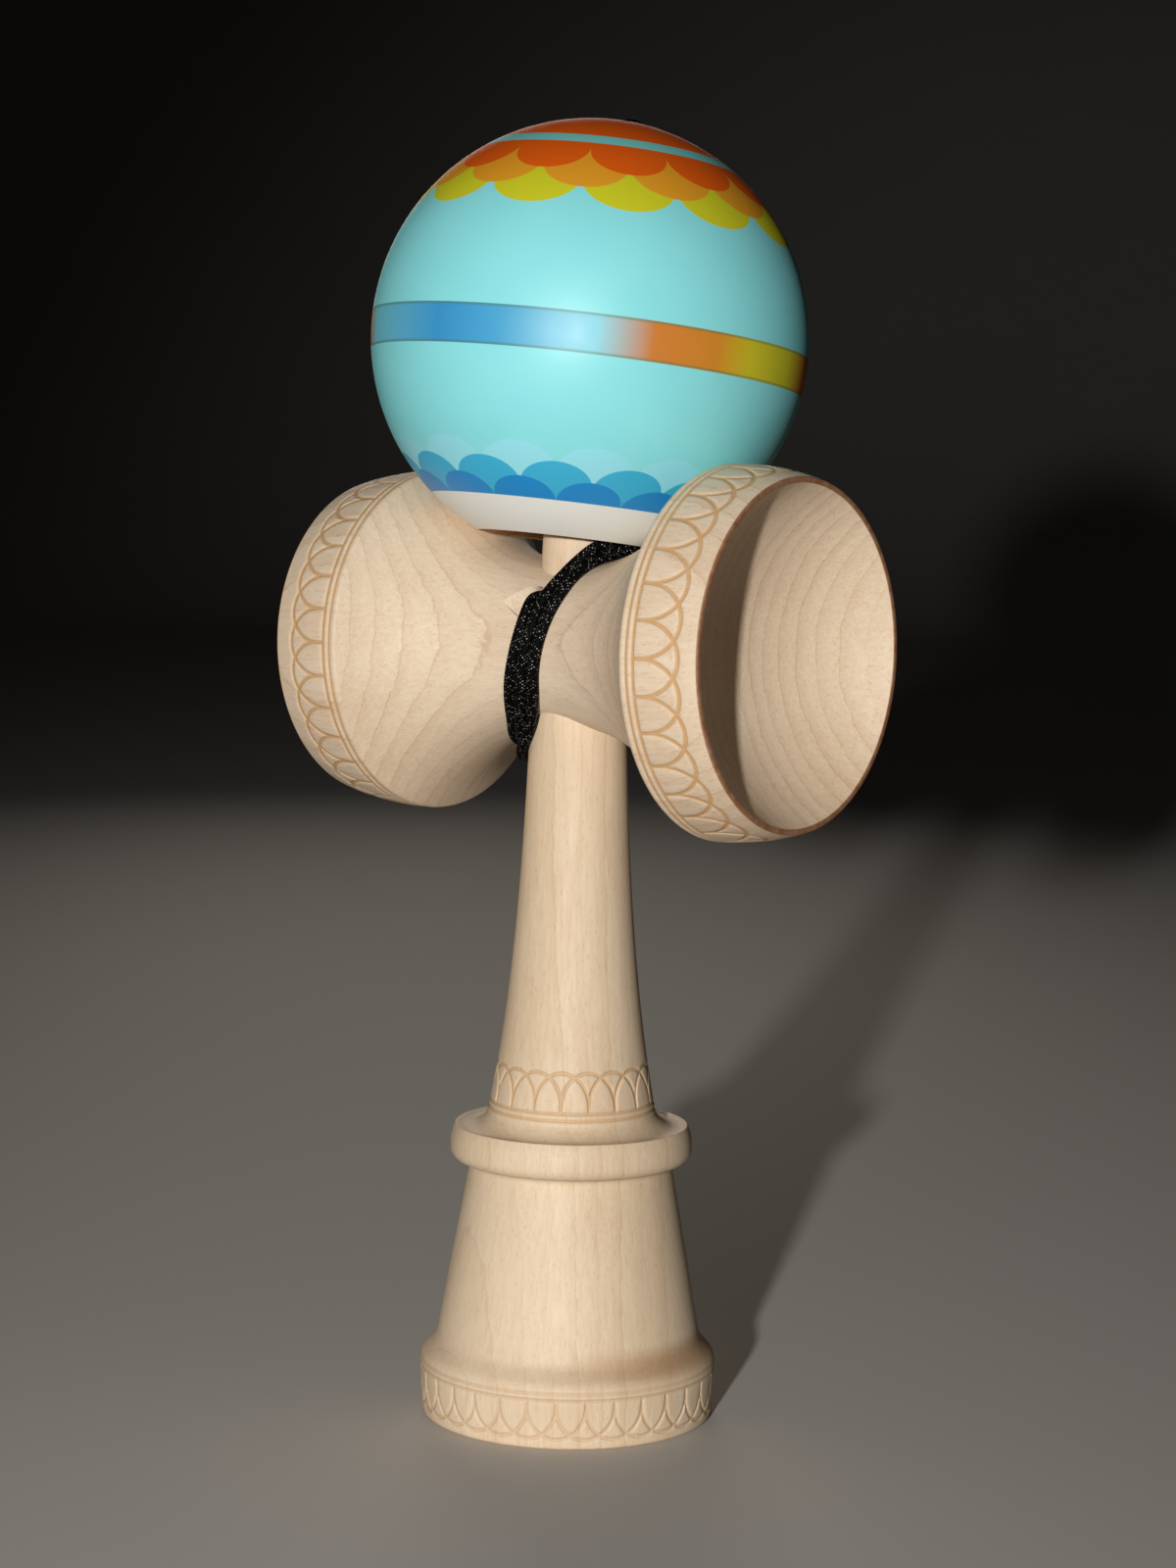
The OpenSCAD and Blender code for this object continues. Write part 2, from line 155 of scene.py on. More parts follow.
# Band edges on the handle, width of the bands on the cups and how far they start from the ridge
BASE_BAND_TOP = 8.25
BASE_BAND_WIDTH = 7.5
GRIP_BAND_FOOT = 42.7
GRIP_BAND_WIDTH = 7.6
CUP_BAND_WIDTH = 9.0
CUP_BAND_START = 0.3

# Shares that stand for plain wood, for what lies past a band and for a burnt rim
PLAIN = -1.0
PAST_BAND = 2.0
BURNT = 3.0

# View of the photograph, with its target and distance in millimetres
VIEW_RIGHT = np.array([0.7913, 0.6112, 0.0171])
VIEW_BACK = np.array([0.6080, -0.7895, 0.0836])
VIEW_TARGET = np.array([1.184, 0.9115, 88.471])
VIEW_DISTANCE = 432.21
VIEW_LENS = 71.49
VIEW_SENSOR = 36


# Small vector helpers

def unit(v):
    """A vector, or each of a row of vectors, divided by its length."""
    v = np.asarray(v, float)
    return v / np.linalg.norm(v, axis=-1, keepdims=True)


def smooth(value, low, high):
    """Nought below low and one above high, with the cubic 3t^2 - 2t^3 between them."""
    t = np.clip((value - low) / (high - low), 0, 1)
    return t * t * (3 - 2 * t)


def line(a, b, steps):
    """Points at equal steps from a to b, both ends included."""
    t = np.linspace(0, 1, steps)[:, None]
    return np.asarray(a) * (1 - t) + np.asarray(b) * t


def rounded(a, b, c, r, steps=7):
    """Arc of radius r in the corner b of the outline a, b, c: it touches both sides equally far from b."""
    a, b, c = np.array(a, float), np.array(b, float), np.array(c, float)
    u, v = unit(a - b), unit(c - b)
    half = np.arccos(u @ v) / 2
    o = b + unit(u + v) * r / np.sin(half)
    p = b + u * r / np.tan(half) - o
    q = b + v * r / np.tan(half) - o
    sweep = np.arccos(np.clip(p @ q / r ** 2, -1, 1)) * np.sign(p[0] * q[1] - p[1] * q[0])
    s = np.linspace(0, sweep, steps)[:, None]
    return o + p * np.cos(s) + np.array([-p[1], p[0]]) * np.sin(s)


def arched(a, b, rise, steps):
    """Shallow parabola from a to b that stands rise off the chord, on the left as one goes along it."""
    t = np.linspace(0, 1, steps)[:, None]
    along = unit(b - a)
    return a * (1 - t) + b * t + np.array([-along[1], along[0]]) * rise * 4 * t * (1 - t)


# Meshes

def surface(name, points, turn_uv, row_uv, closed=False):
    """A grid of points as a closed mesh: columns run round and rows run along.

    The first and the last row are poles, unless the rows close into a ring. The texture map holds turn_uv
    times the share of the turn, and row_uv, for each row.
    """
    rows, columns = points.shape[:2]
    index = np.arange(rows * columns).reshape(rows, columns)
    if not closed:
        index[0] = index[0, 0]
        index[-1] = index[-1, 0]
    row = np.arange(rows if closed else rows - 1)
    low = index[row]
    high = index[(row + 1) % rows]
    faces = np.stack([low, np.roll(low, -1, 1), np.roll(high, -1, 1), high], -1).reshape(-1, 4)
    turn = np.arange(columns) / columns
    turns = np.stack([turn, turn + 1 / columns, turn + 1 / columns, turn], -1)
    sides = np.stack([row, row, (row + 1) % rows, (row + 1) % rows], -1)
    u = turns[None] * np.broadcast_to(turn_uv, rows)[sides][:, None]
    v = np.broadcast_to(np.broadcast_to(row_uv, rows)[sides][:, None], u.shape)
    keep = np.ones(faces.shape, bool)
    keep[:, 1] = faces[:, 0] != faces[:, 1]
    keep[:, 3] = faces[:, 2] != faces[:, 3]
    used, corners = np.unique(faces[keep], return_inverse=True)
    counts = keep.sum(1)
    mesh = bpy.data.meshes.new(name)
    mesh.vertices.add(len(used))
    mesh.vertices.foreach_set("co", (points.reshape(-1, 3)[used] * MM).ravel())
    mesh.loops.add(len(corners))
    mesh.loops.foreach_set("vertex_index", corners.ravel().astype(np.int32))
    mesh.polygons.add(len(counts))
    mesh.polygons.foreach_set("loop_start", np.concatenate([[0], np.cumsum(counts)[:-1]]).astype(np.int32))
    mesh.update(calc_edges=True)
    layer = mesh.uv_layers.new(name="pattern")
    layer.data.foreach_set("uv", np.stack([u.reshape(-1, 4)[keep], v.reshape(-1, 4)[keep]], -1).ravel())
    piece = bpy.data.objects.new(name, mesh)
    bpy.context.scene.collection.objects.link(piece)
    return piece


def carried_round(along, radius, centre, side, axis, columns):
    """Points of a turned shape: centre + along * axis + radius turned from side round the axis."""
    turn = np.arange(columns) / columns * 2 * np.pi
    other = np.cross(axis, side)
    spoke = np.cos(turn)[:, None] * side + np.sin(turn)[:, None] * other
    along = np.broadcast_to(along.reshape(len(along), -1), (len(along), columns))
    radius = np.broadcast_to(radius.reshape(len(radius), -1), (len(radius), columns))
    return centre + along[..., None] * axis + radius[..., None] * spoke


def tube(name, path, radius):
    """Braided tube: rings square to the path, their radius less by the braid's hollows, ends closed.

    The braid is |cos 8t + cos 2 pi s| / 2 for the turn t and the count s of its pitches along the path, so
    that eight bumps stand round the string and the next ones sit between them half a pitch on.
    """
    way = unit(np.gradient(path, axis=0))
    u = unit(X_WAY - way * way[:, :1])
    v = np.cross(way, u)
    run = np.concatenate([[0], np.cumsum(np.linalg.norm(np.diff(path, axis=0), axis=1))])
    pitch = run / BRAID_PITCH
    turn = np.arange(CORD_SIDES) / CORD_SIDES * 2 * np.pi
    braid = np.abs(np.cos(BRAID_BUMPS * turn)[None] + np.cos(2 * np.pi * pitch)[:, None]) / 2
    ring = (radius - BRAID_DEPTH * (1 - braid))[..., None]
    spoke = np.cos(turn)[:, None] * u[:, None] + np.sin(turn)[:, None] * v[:, None]
    points = path[:, None] + ring * spoke
    ends = np.broadcast_to(path[[0, -1], None], (2, CORD_SIDES, 3))
    points = np.concatenate([ends[:1], points, ends[1:]])
    return surface(name, points, 1.0, np.concatenate([pitch[:1], pitch, pitch[-1:]]))


def bore(piece, outline, centre, side, axis, columns=64):
    """Takes a turned shape, given by its outline from pole to pole, out of a piece."""
    points = carried_round(outline[:, 0], outline[:, 1], centre, side, axis, columns)
    cutter = surface(piece.name + "_bore", points, 0.0, PAST_BAND)
    cutter.data.materials.append(None)
    step = piece.modifiers.new("bore", "BOOLEAN")
    step.operation = "DIFFERENCE"
    step.solver = "MANIFOLD"
    step.object = cutter
    whole = piece.evaluated_get(bpy.context.evaluated_depsgraph_get())
    old = piece.data
    piece.data = bpy.data.meshes.new_from_object(whole)
    piece.modifiers.clear()
    bpy.data.meshes.remove(old)
    bpy.data.objects.remove(cutter)


def finish_piece(piece, body, materials, nodes, sharp=40):
    """Smooth faces with crisp edges, materials, the body the piece rides on and the nodes it stands for."""
    mesh = piece.data
    mesh.materials.clear()
    for material in materials:
        mesh.materials.append(material)
    mesh.shade_smooth()
    mesh.set_sharp_from_angle(angle=np.radians(sharp))
    if nodes:
        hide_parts(*nodes)
    if body:
        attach(piece, body)


# Camera, at the angle of the photograph

def place_camera():
    """Looks along -back, turned so that right and up are the picture's own axes."""
    back = unit(VIEW_BACK)
    right = unit(VIEW_RIGHT - back * (VIEW_RIGHT @ back))
    up = np.cross(back, right)
    eye = VIEW_TARGET * MM + back * VIEW_DISTANCE * MM
    data = bpy.data.cameras.new("camera")
    data.lens = VIEW_LENS
    data.sensor_width = VIEW_SENSOR
    data.clip_start = 0.01
    camera = bpy.data.objects.new("camera", data)
    matrix = np.eye(4)
    matrix[:3] = np.stack([right, up, back, eye], -1)
    camera.matrix_world = Matrix(matrix.tolist())
    bpy.context.scene.collection.objects.link(camera)
    bpy.context.scene.camera = camera


# String

def back_arc(ridge):
    """Radius of the arc that is level at the waist and ends on a ridge."""
    rise = ridge[1] - WAIST_R
    return (ridge[0] ** 2 + rise ** 2) / (2 * rise)


def taper_r(h):
    """Radius of the handle inside the cross piece, narrowing evenly upwards."""
    return SEAT_R + (SPIKE_R - SEAT_R) * (h - SEAT_H) / (TOP_H - SEAT_H)


WRAP_GAP = 0.04
WRAP_START = -20.0
WRAP_END = 860.0

# Angle, place along the waist and lift of the string at the points that its turns pass
WRAP_TABLE = np.array([
    # First turn, leftmost in front
    [-20, -0.75, 0], [-8, -1.19, 0], [6, -1.97, 0], [41, -4.55, 0], [54, -5.7, 0], [73, -8.15, 0],
    [82, -8.95, 0], [90, -9.3, 0], [98, -9.25, 0], [110, -8.7, 0], [120, -7.9, 0], [180, -0.85, 0],
    [220, 3.1, 0.1], [235, 4.7, 0.5], [250, 6.2, 1.2], [262, 6.85, 1.65], [270, 6.75, 1.75],
    [278, 6.15, 1.75], [286, 5.1, 1.65],
    # Second turn, beside it
    [297, 2.95, 0.25], [307, 2.65, 0], [326, 1.6, 0], [345, 1.05, 0], [380, -0.94, 0], [401, -2.72, 0.3],
    [417, -4.4, 0.7], [432, -6.45, 1.05], [440, -7.3, 1.1], [450, -7.75, 1], [460, -7.55, 0.95],
    [470, -6.85, 0.75], [480, -5.85, 0.3], [500, -3.5, 0], [540, 1.35, 0], [595, 6.9, 0.05],
    [610, 8.1, 0.15], [622, 8.4, 0.25], [630, 8, 0.3], [651, 5.65, 0],
    # Last turn, over the second where they meet the handle
    [666, 4.85, 0], [682, 4.3, 0], [750, 0.2, 0], [761, -0.85, 0.05], [770, -1.8, 0.45], [776, -2.5, 1.25],
    [785, -4.5, 2.4], [792, -6.3, 2.75], [800, -7.35, 2.8], [810, -7.85, 2.7], [820, -7.35, 2.6],
    [830, -6, 2.4], [840, -4.3, 1.65], [850, -2.4, 0.8], [858, -0.95, 0.25], [866, 0.4, 0],
])

# Up from the waist to the ball, then behind the ball, where the points are moved onto its surface
RUN_POINTS = np.array([
    [2.1, 12.0, 103.5], [2.7, 14.0, 106.3], [2.8, 15.9, 110], [2.8, 17.9, 114], [2.8, 19.8, 118],
    [2.8, 21.8, 122], [2.8, 23.8, 126], [2.8, 25.7, 130],
])
BEHIND_BALL = np.array([
    [2.7, 27.6, 133.8], [2.7, 29.2, 137.2], [2.6, 30.5, 140.8], [2.6, 31.3, 144.6], [2.5, 31.7, 148.4],
    [2.5, 31.6, 152.4], [2.4, 30.9, 156.4], [2.4, 29.7, 160.3], [2.3, 28.1, 164], [2.3, 25.9, 167.5],
    [2.2, 23.3, 170.7], [2.2, 20.3, 173.5], [2.1, 17, 175.9], [2.1, 13.4, 177.8],
])


def table_line(angle, column):
    """Value of a column of the wrap table at an angle, rounded by three running means over five degrees."""
    fine = np.arange(WRAP_TABLE[0, 0], WRAP_TABLE[-1, 0], 0.25)
    value = np.interp(fine, WRAP_TABLE[:, 0], WRAP_TABLE[:, column])
    for _ in range(3):
        ends = np.concatenate([2 * value[0] - value[10:0:-1], value, 2 * value[-1] - value[-2:-12:-1]])
        value = np.convolve(ends, np.ones(21) / 21, "valid")
    return np.interp(angle, fine, value)


def wrap_points(angle):
    """Middle of the string at an angle in degrees round the waist, which starts in front and goes down.

    The table holds the angle, the place along the waist and the lift off the wood. Without lift the
    string rests on the waist and the backs of the cups; with lift it lies against the handle or over
    the turns below it.
    """
    lie = CORD_R + WRAP_GAP
    x = table_line(angle, 1)
    arc = np.where(x < 0, back_arc(SMALL_RIDGE), back_arc(BIG_RIDGE))
    r = WAIST_R + arc - np.sqrt((arc - lie) ** 2 - x * x) + table_line(angle, 2)
    a = np.radians(angle)
    return np.stack([x, -r * np.cos(a), CROSS_H - r * np.sin(a)], -1)


def even_path(points, step):
    """The same route with points at equal steps along it."""
    run = np.concatenate([[0], np.cumsum(np.linalg.norm(np.diff(points, axis=0), axis=1))])
    at = np.linspace(0, run[-1], int(run[-1] / step) + 1)
    return np.stack([np.interp(at, run, points[:, k]) for k in range(3)], -1)


def through(points, steps=24):
    """Catmull-Rom curve: a cubic from each point to the next, with slopes along its neighbours' chord."""
    ends = np.concatenate([2 * points[:1] - points[1:2], points, 2 * points[-1:] - points[-2:-1]])
    t = (np.arange(steps) / steps)[None, :, None]
    a, b, c, d = (ends[k:len(ends) - 3 + k, None] for k in range(4))
    square = 2 * a - 5 * b + 4 * c - d
    cube = 3 * b - 3 * c + d - a
    curve = 0.5 * (2 * b + (c - a) * t + square * t ** 2 + cube * t ** 3)
    return np.concatenate([curve.reshape(-1, 3), points[-1:]])


def softened(points, reach, times):
    """The route with each point moved to the mean of its neighbours within reach, its ends kept."""
    kernel = np.ones(2 * reach + 1) / (2 * reach + 1)
    for _ in range(times):
        mean = np.stack([np.convolve(points[:, k], kernel, "valid") for k in range(3)], -1)
        points = np.concatenate([points[:reach], mean, points[-reach:]])
    return points


def top_entry():
    """Over the lip of the ball's top hole and down it: an arc in the plane of the ball's axis."""
    arc_r, arc_out, arc_h = 3.7, 4.15, 26.85
    far = unit(Y_WAY - BALL_AXIS * BALL_AXIS[1])
    turn = np.radians(np.linspace(-8.8, 90, 9))
    out = np.concatenate([arc_out - arc_r * np.sin(turn), [0.3, 0.0]])
    height = np.concatenate([arc_h + arc_r * np.cos(turn), [25.3, 24.0]])
    return BALL_C + height[:, None] * BALL_AXIS + out[:, None] * far


def string_route():
    """Out of the string hole, two and a half times round the waist, up behind the ball and into its top.

    A cubic leads from the hole into the turns, and a curve through the points leads on from them.
    """
    lead = 1.9
    lead_off = 1.8
    bend_depth = 1.45
    ball_gap = 0.09
    step = 0.1
    start = HOLE_MIDDLE + HOLE_OUT * (taper_r(HOLE_H) + TAPER_GAP)
    bend_from = HOLE_MIDDLE + HOLE_OUT * (HOLE_MOUTH - bend_depth)
    wraps = wrap_points(np.linspace(WRAP_START, WRAP_END, 3200))
    t = np.linspace(0, 1, 60)[1:-1, None]
    to = wraps[0]
    before = to - unit(wraps[1] - wraps[0]) * lead
    bend = (bend_from * (1 - t) ** 3 + (bend_from + HOLE_OUT * lead) * 3 * t * (1 - t) ** 2
            + before * 3 * t * t * (1 - t) + to * t ** 3)
    off = wraps[-1] + unit(wraps[-1] - wraps[-2]) * lead_off
    behind = BALL_C + unit(BEHIND_BALL - BALL_C) * (BALL_R + CORD_R + ball_gap)
    run = through(np.concatenate([wraps[-1:], off[None], RUN_POINTS, behind, top_entry()]))
    whole = np.concatenate([line(start, bend_from, 12)[:-1], bend_from[None], bend, wraps[:-1], run])
    return even_path(softened(even_path(whole, step), 5, 3), step)


def straight_string(name, start, stop, radius=CORD_R, step=CORD_STEP):
    """Straight stretch of the string from start to stop."""
    return tube(name, even_path(line(start, stop, 3), step), radius)


def coil(centre, axis, aside):
    """Route of a stopper knot: a helix of a few turns round the axis, one string beside the next.

    It starts square to the axis and to the direction aside.
    """
    t = np.linspace(0, 1, 60 * KNOT_TURNS)
    side = unit(np.cross(axis, aside))
    angle = t * KNOT_TURNS * 2 * np.pi
    spoke = np.cos(angle)[:, None] * side + np.sin(angle)[:, None] * np.cross(axis, side)
    along = KNOT_CORD_R + t * (KNOT_LENGTH - 2 * KNOT_CORD_R)
    return centre + axis * along[:, None] + spoke * KNOT_R


def knot(name, centre, axis, aside):
    """Stopper knot: turns of the string side by side, as rings square to the coil."""
    path = coil(centre, axis, aside)
    way = unit(np.gradient(path, axis=0))
    u = unit(np.cross(way, axis))
    v = np.cross(way, u)
    turn = np.arange(KNOT_SIDES) / KNOT_SIDES * 2 * np.pi
    spoke = np.cos(turn)[:, None] * u[:, None] + np.sin(turn)[:, None] * v[:, None]
    points = path[:, None] + KNOT_CORD_R * spoke
    ends = np.broadcast_to(path[[0, -1], None], (2, KNOT_SIDES, 3))
    run = np.arange(len(path)) * CORD_STEP
    rows = np.concatenate([run[:1], run, run[-1:]]) / BRAID_PITCH
    return surface(name, np.concatenate([ends[:1], points, ends[1:]]), 1.0, rows)


place_camera()
route = string_route()
string = tube("string", route, CORD_R)
string_in_handle = straight_string("string_in_handle", HOLE_MIDDLE - HOLE_OUT * TAIL_REACH,
                                   HOLE_MIDDLE + HOLE_OUT * taper_r(HOLE_H))
bridge_foot = HOLE_MIDDLE + HOLE_OUT * BRIDGE_OUT
string_bridge = straight_string("string_bridge", bridge_foot - UP * BRIDGE_HALF,
                                bridge_foot + UP * BRIDGE_HALF, CORD_R * 0.97, CORD_STEP / 2)
string_in_ball = straight_string("string_in_ball", BALL_C + BALL_AXIS * END_TOP,
                                 BALL_C + BALL_AXIS * END_LOW)
handle_knot = knot("handle_knot", HOLE_MIDDLE - HOLE_OUT * (TAIL_REACH + KNOT_LENGTH), HOLE_OUT,
                   np.array([0.3, 0.2, 1.0]))
bead_knot = knot("bead_knot", BALL_C + BALL_AXIS * (END_LOW - KNOT_LENGTH), BALL_AXIS, X_WAY)


# Engraved bands

def arcade(u, v):
    """Depth share of the engraved lines at u repeats round and the share v across a band.

    Two lines run round the band's foot, and on them stand round arches in two rows, each row half a
    repeat from the other so that they interlace.
    """
    rail = np.minimum(np.abs(v - RAILS[0]), np.abs(v - RAILS[1]))
    rise = np.maximum(v - ARCH_FOOT, 0) * ARCH_SQUASH
    one = np.abs(np.hypot(u - np.floor(u) - 0.5, rise) - 0.5)
    two = np.abs(np.hypot(u + 0.5 - np.floor(u + 0.5) - 0.5, rise) - 0.5)
    arch = np.where((v > RAILS[1]) & (v < 1), np.minimum(one, two), 1.0)
    return 1 - smooth(np.minimum(rail, arch), LINE_HALF * 0.5, LINE_HALF * 1.6)


# Handle

def grip_r(h):
    """Radius of the grip: from its foot it falls off exponentially to the seat of the cross piece."""
    last = np.exp(-(SEAT_H - GRIP_FOOT_H) / GRIP_FLARE)
    share = (np.exp(-(h - GRIP_FOOT_H) / GRIP_FLARE) - last) / (1 - last)
    return SEAT_R + (GRIP_FOOT_R - SEAT_R) * share


def handle_outline():
    """Half outline of the handle, radius and height, from the middle of the base cup to the tip."""
    cup_r = (BASE_CUP_R ** 2 + BASE_CUP_DEPTH ** 2) / (2 * BASE_CUP_DEPTH)
    angle = np.linspace(0, np.arcsin(BASE_CUP_R / cup_r), 14)[:-1]
    cup = np.stack([cup_r * np.sin(angle), BASE_CUP_DEPTH - cup_r + cup_r * np.cos(angle)], -1)
    lip = rounded(cup[-1], [BASE_CUP_R, 0], FOOT, LIP_ROUND, 5)
    foot_arc = rounded([0, 0], FOOT, SHOULDER, FOOT_ROUND, 6)
    shoulder_arc = rounded(FOOT, SHOULDER, BODY_FOOT, SHOULDER_ROUND, 9)
    body_arc = rounded(SHOULDER, BODY_FOOT, BODY_TOP, BODY_ROUND, 7)
    neck_arc = rounded(BODY_FOOT, BODY_TOP, COLLAR_LOW, NECK_ROUND, 6)
    collar_arc = rounded(BODY_TOP, COLLAR_LOW, COLLAR_SIDE, COLLAR_ROUND, 8)
    side_arc = rounded(COLLAR_LOW, COLLAR_SIDE, COLLAR_EDGE, SIDE_ROUND, 6)
    edge_arc = rounded(COLLAR_SIDE, COLLAR_EDGE, COLLAR_TOP, EDGE_ROUND, 4)
    cove = arched(np.array(COLLAR_EDGE), np.array([GRIP_FOOT_R, GRIP_FOOT_H]), COVE_DEPTH, 9)[1:-1]
    side = line(foot_arc[-1], shoulder_arc[0], 36)[1:-1]
    body = line(body_arc[-1], neck_arc[0], 8)[1:-1]
    band_top_h = GRIP_BAND_FOOT + GRIP_BAND_WIDTH + 0.3
    low_grip = np.linspace(GRIP_FOOT_H, band_top_h, 36)
    grip_h = np.concatenate([low_grip, np.linspace(band_top_h, SEAT_H, 22)[1:]])
    grip = np.stack([grip_r(grip_h), grip_h], -1)
    tip_h = TOP_H + SPIKE_LENGTH
    spike_h = np.linspace(TOP_H, tip_h - TIP_R, 18)
    share = (spike_h - TOP_H) / (tip_h - TIP_R - TOP_H)
    spike = np.stack([SPIKE_R + (TIP_R - SPIKE_R) * share ** SPIKE_POWER, spike_h], -1)
    round_tip = np.linspace(0, np.pi / 2, 9)[1:]
    tip = np.stack([TIP_R * np.cos(round_tip), tip_h - TIP_R + TIP_R * np.sin(round_tip)], -1)
    tip[-1, 0] = 0
    return np.concatenate([cup, lip, foot_arc, side, shoulder_arc, body_arc, body, neck_arc, collar_arc,
                           side_arc, edge_arc, cove, grip, spike, tip])


def make_handle():
    """Turned handle with its two engraved bands cut into the wood, and the bored string hole."""
    outline = handle_outline()
    radius, height = outline[:, 0], outline[:, 1]
    base = (BASE_BAND_TOP - height) / BASE_BAND_WIDTH
    grip = (height - GRIP_BAND_FOOT) / GRIP_BAND_WIDTH
    outer = radius > 19.5
    in_base = (height < 9) & outer
    in_grip = (height > 42.3) & (radius < 12)
    in_cup = (height < SHOULDER[1]) & ~outer
    share = np.where(in_base, base, np.where(in_grip, grip, PLAIN))
    share = np.minimum(np.where(in_cup, PAST_BAND, share), PAST_BAND)
    repeats = np.where(in_grip, GRIP_REPEATS, BASE_REPEATS).astype(float)
    columns = 512
    turn = np.arange(columns) / columns
    groove = arcade(turn[None] * repeats[:, None], share[:, None])
    carved = radius[:, None] - GROOVE_DEPTH * groove
    points = carried_round(height, carved, np.zeros(3), X_WAY, UP, columns)
    handle = surface("handle", points, repeats, share)
    hole = np.array([[-8, 0], [-8, HOLE_R], [8, HOLE_R], [8, 0]])
    pocket = np.array([[-8, 0], [-8, POCKET_R], [POCKET_END, POCKET_R], [POCKET_END, 0]])
    bore(handle, hole, HOLE_MIDDLE, UP, HOLE_OUT, 40)
    bore(handle, pocket, HOLE_MIDDLE, UP, HOLE_OUT, 48)
    return handle


# Cross piece

def back_of_cup(ridge, start, stop, steps):
    """Arc of the back of a cup, from the share start to the share stop of the way to its ridge."""
    x = ridge[0] * np.linspace(start, stop, steps)
    arc = back_arc(ridge)
    return np.stack([x, WAIST_R + arc - np.sqrt(arc ** 2 - x * x)], -1)


def half_cross(rim, ridge, depth, swell_side):
    """Outline of one cup from the middle of its bowl over the rim, the band and the ridge to the waist."""
    out = np.sign(rim[0])
    mouth = np.array([rim[0], rim[1] - RIM_WIDTH])
    bowl_r = (mouth[1] ** 2 + depth ** 2) / (2 * depth)
    reach = np.arcsin(mouth[1] / bowl_r)
    angle = np.append(np.linspace(0, reach, 20)[:-1], reach * 0.992)
    sunk = depth - bowl_r + bowl_r * np.cos(angle)
    bowl = np.stack([mouth[0] - out * sunk, bowl_r * np.sin(angle)], -1)
    inner = rounded(bowl[-1], mouth, rim, 0.14, 4)
    outer = rounded(mouth, rim, ridge, 0.2, 4)
    back = back_of_cup(ridge, 0.95, 0, 22)
    crest = rounded(rim, ridge, back[0], RIDGE_ROUND, 6)
    band = arched(outer[-1], crest[0], BAND_SWELL * swell_side, 40)[1:-1]
    return [bowl, inner, outer, band, crest, back]


def make_cross_piece():
    """Turned cross piece: two bowls, burnt rims, engraved bands and the round backs that meet at the waist.

    Each stretch of the outline has its own share: past the band in the bowl, burnt on the two edges of
    the rim, from nought to one across the band, and plain on the crest and the back.
    """
    small = half_cross(SMALL_RIM, SMALL_RIDGE, SMALL_BOWL_DEPTH, 1)
    big = half_cross(BIG_RIM, BIG_RIDGE, BIG_BOWL_DEPTH, -1)
    kinds = []
    for ridge, (bowl, inner, outer, band, crest, back) in ((SMALL_RIDGE, small), (BIG_RIDGE, big)):
        across = (np.linalg.norm(band - ridge, axis=1) - CUP_BAND_START) / CUP_BAND_WIDTH
        kinds.append([np.full(len(bowl), PAST_BAND), np.full(len(inner), BURNT), np.full(len(outer), BURNT),
                      np.minimum(across, PAST_BAND), np.full(len(crest), PLAIN), np.full(len(back), PLAIN)])
    outline = np.concatenate(small + [big[5][::-1][1:]] + [part[::-1] for part in big[4::-1]])
    share = np.concatenate(kinds[0] + [kinds[1][5][1:]] + [part[::-1] for part in kinds[1][4::-1]])
    columns = 512
    turn = np.arange(columns) / columns
    groove = arcade(turn[None] * CUP_REPEATS, share[:, None])
    radius = outline[:, 1:] - GROOVE_DEPTH * groove
    points = carried_round(outline[:, 0], radius, UP * CROSS_H, Y_WAY, X_WAY, columns)
    cross = surface("cross_piece", points, float(CUP_REPEATS), share)
    low, high = SEAT_H - 2.5, TOP_H + 2.5
    low_r, high_r = taper_r(low) + TAPER_GAP, taper_r(high) + TAPER_GAP
    taper = np.array([[low, 0], [low, low_r], [high, high_r], [high, 0]])
    bore(cross, taper, np.zeros(3), X_WAY, UP, 128)
    sink_foot, sink_top = HOLE_MOUTH - SINK_DEPTH, HOLE_MOUTH + SINK_TOP
    hole = np.array([[2.0, 0], [2.0, HOLE_R], [sink_foot - 0.4, HOLE_R], [sink_foot, SINK_FOOT_R],
                     [sink_top, SINK_TOP_R], [sink_top, 0]])
    bore(cross, hole, HOLE_MIDDLE, UP, HOLE_OUT, 48)
    return cross


# Ball

def make_ball():
    """Ball: a sphere round its own axis, the countersunk string hole above and the bevelled hole below.

    The outline is one closed loop; the texture map holds the turn and the latitude in right angles.
    """
    mouth_low = np.sqrt(BALL_R ** 2 - MOUTH_R ** 2)
    latitude = np.linspace(-np.arccos(MOUTH_R / BALL_R), np.arccos(TOP_SINK_R / BALL_R), 120)
    shell = np.stack([BALL_R * np.sin(latitude), BALL_R * np.cos(latitude)], -1)
    top = BALL_HOLE_DEPTH - mouth_low
    cone = BALL_HOLE_R - BALL_HOLE_END_R
    sink = rounded(shell[-1], [TOP_SINK_H, TOP_HOLE_R], [top, TOP_HOLE_R], TOP_SINK_ROUND, 6)
    inside = np.array([[top, TOP_HOLE_R], [top, BALL_HOLE_END_R], [top - cone, BALL_HOLE_R],
                       [MOUTH_R - BALL_HOLE_R - mouth_low, BALL_HOLE_R]])
    outline = np.concatenate([shell, sink, inside])
    share = np.concatenate([latitude / (np.pi / 2), np.full(len(sink) + len(inside), PAST_BAND)])
    side = unit(X_WAY - BALL_AXIS * BALL_AXIS[0])
    columns = 256
    points = carried_round(outline[:, 0], outline[:, 1], BALL_C, side, BALL_AXIS, columns)
    ball = surface("ball", points, 1.0, share, closed=True)
    bare = np.zeros((len(outline), columns), np.int32)
    bare[len(shell) - 1:] = 1
    return ball, bare.ravel()


# Materials

